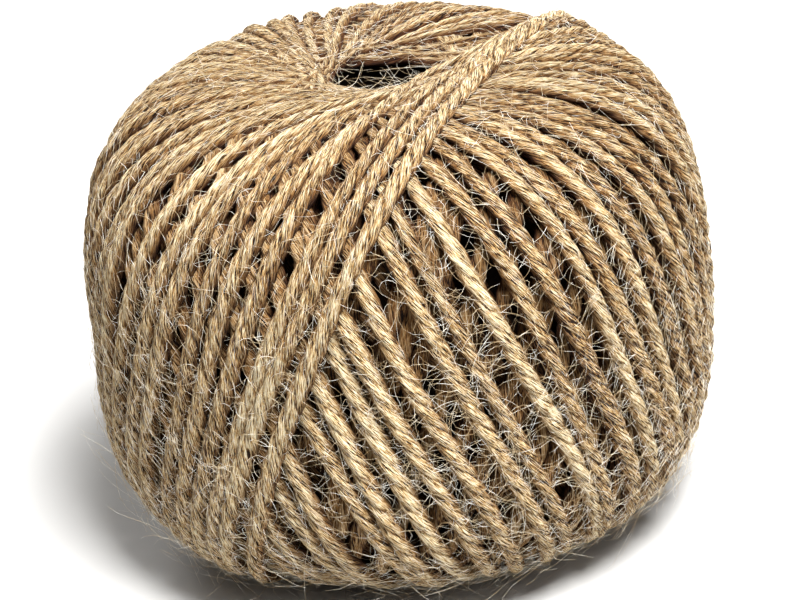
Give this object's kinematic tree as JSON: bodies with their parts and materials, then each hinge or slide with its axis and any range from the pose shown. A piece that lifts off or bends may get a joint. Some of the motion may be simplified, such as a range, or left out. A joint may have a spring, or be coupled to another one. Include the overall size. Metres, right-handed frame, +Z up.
{
  "type": "ball of twine",
  "caption": "Machine-wound ball of natural jute twine, standing on its end, with the winding mandrel's open hole through it.",
  "frame": {"origin": "middle of the ball's bounding box at its pressed-flat underside, on the winding axis", "axes": "+Z up along the winding axis and its hole; -Y towards the side where the newest turn crosses the other family"},
  "size_m": [0.0904, 0.088, 0.0707],
  "materials": {
    "jute_twine": "matte"
  },
  "bodies": {
    "root": {"twine_ball": "jute_twine"}
  },
  "joints": []
}
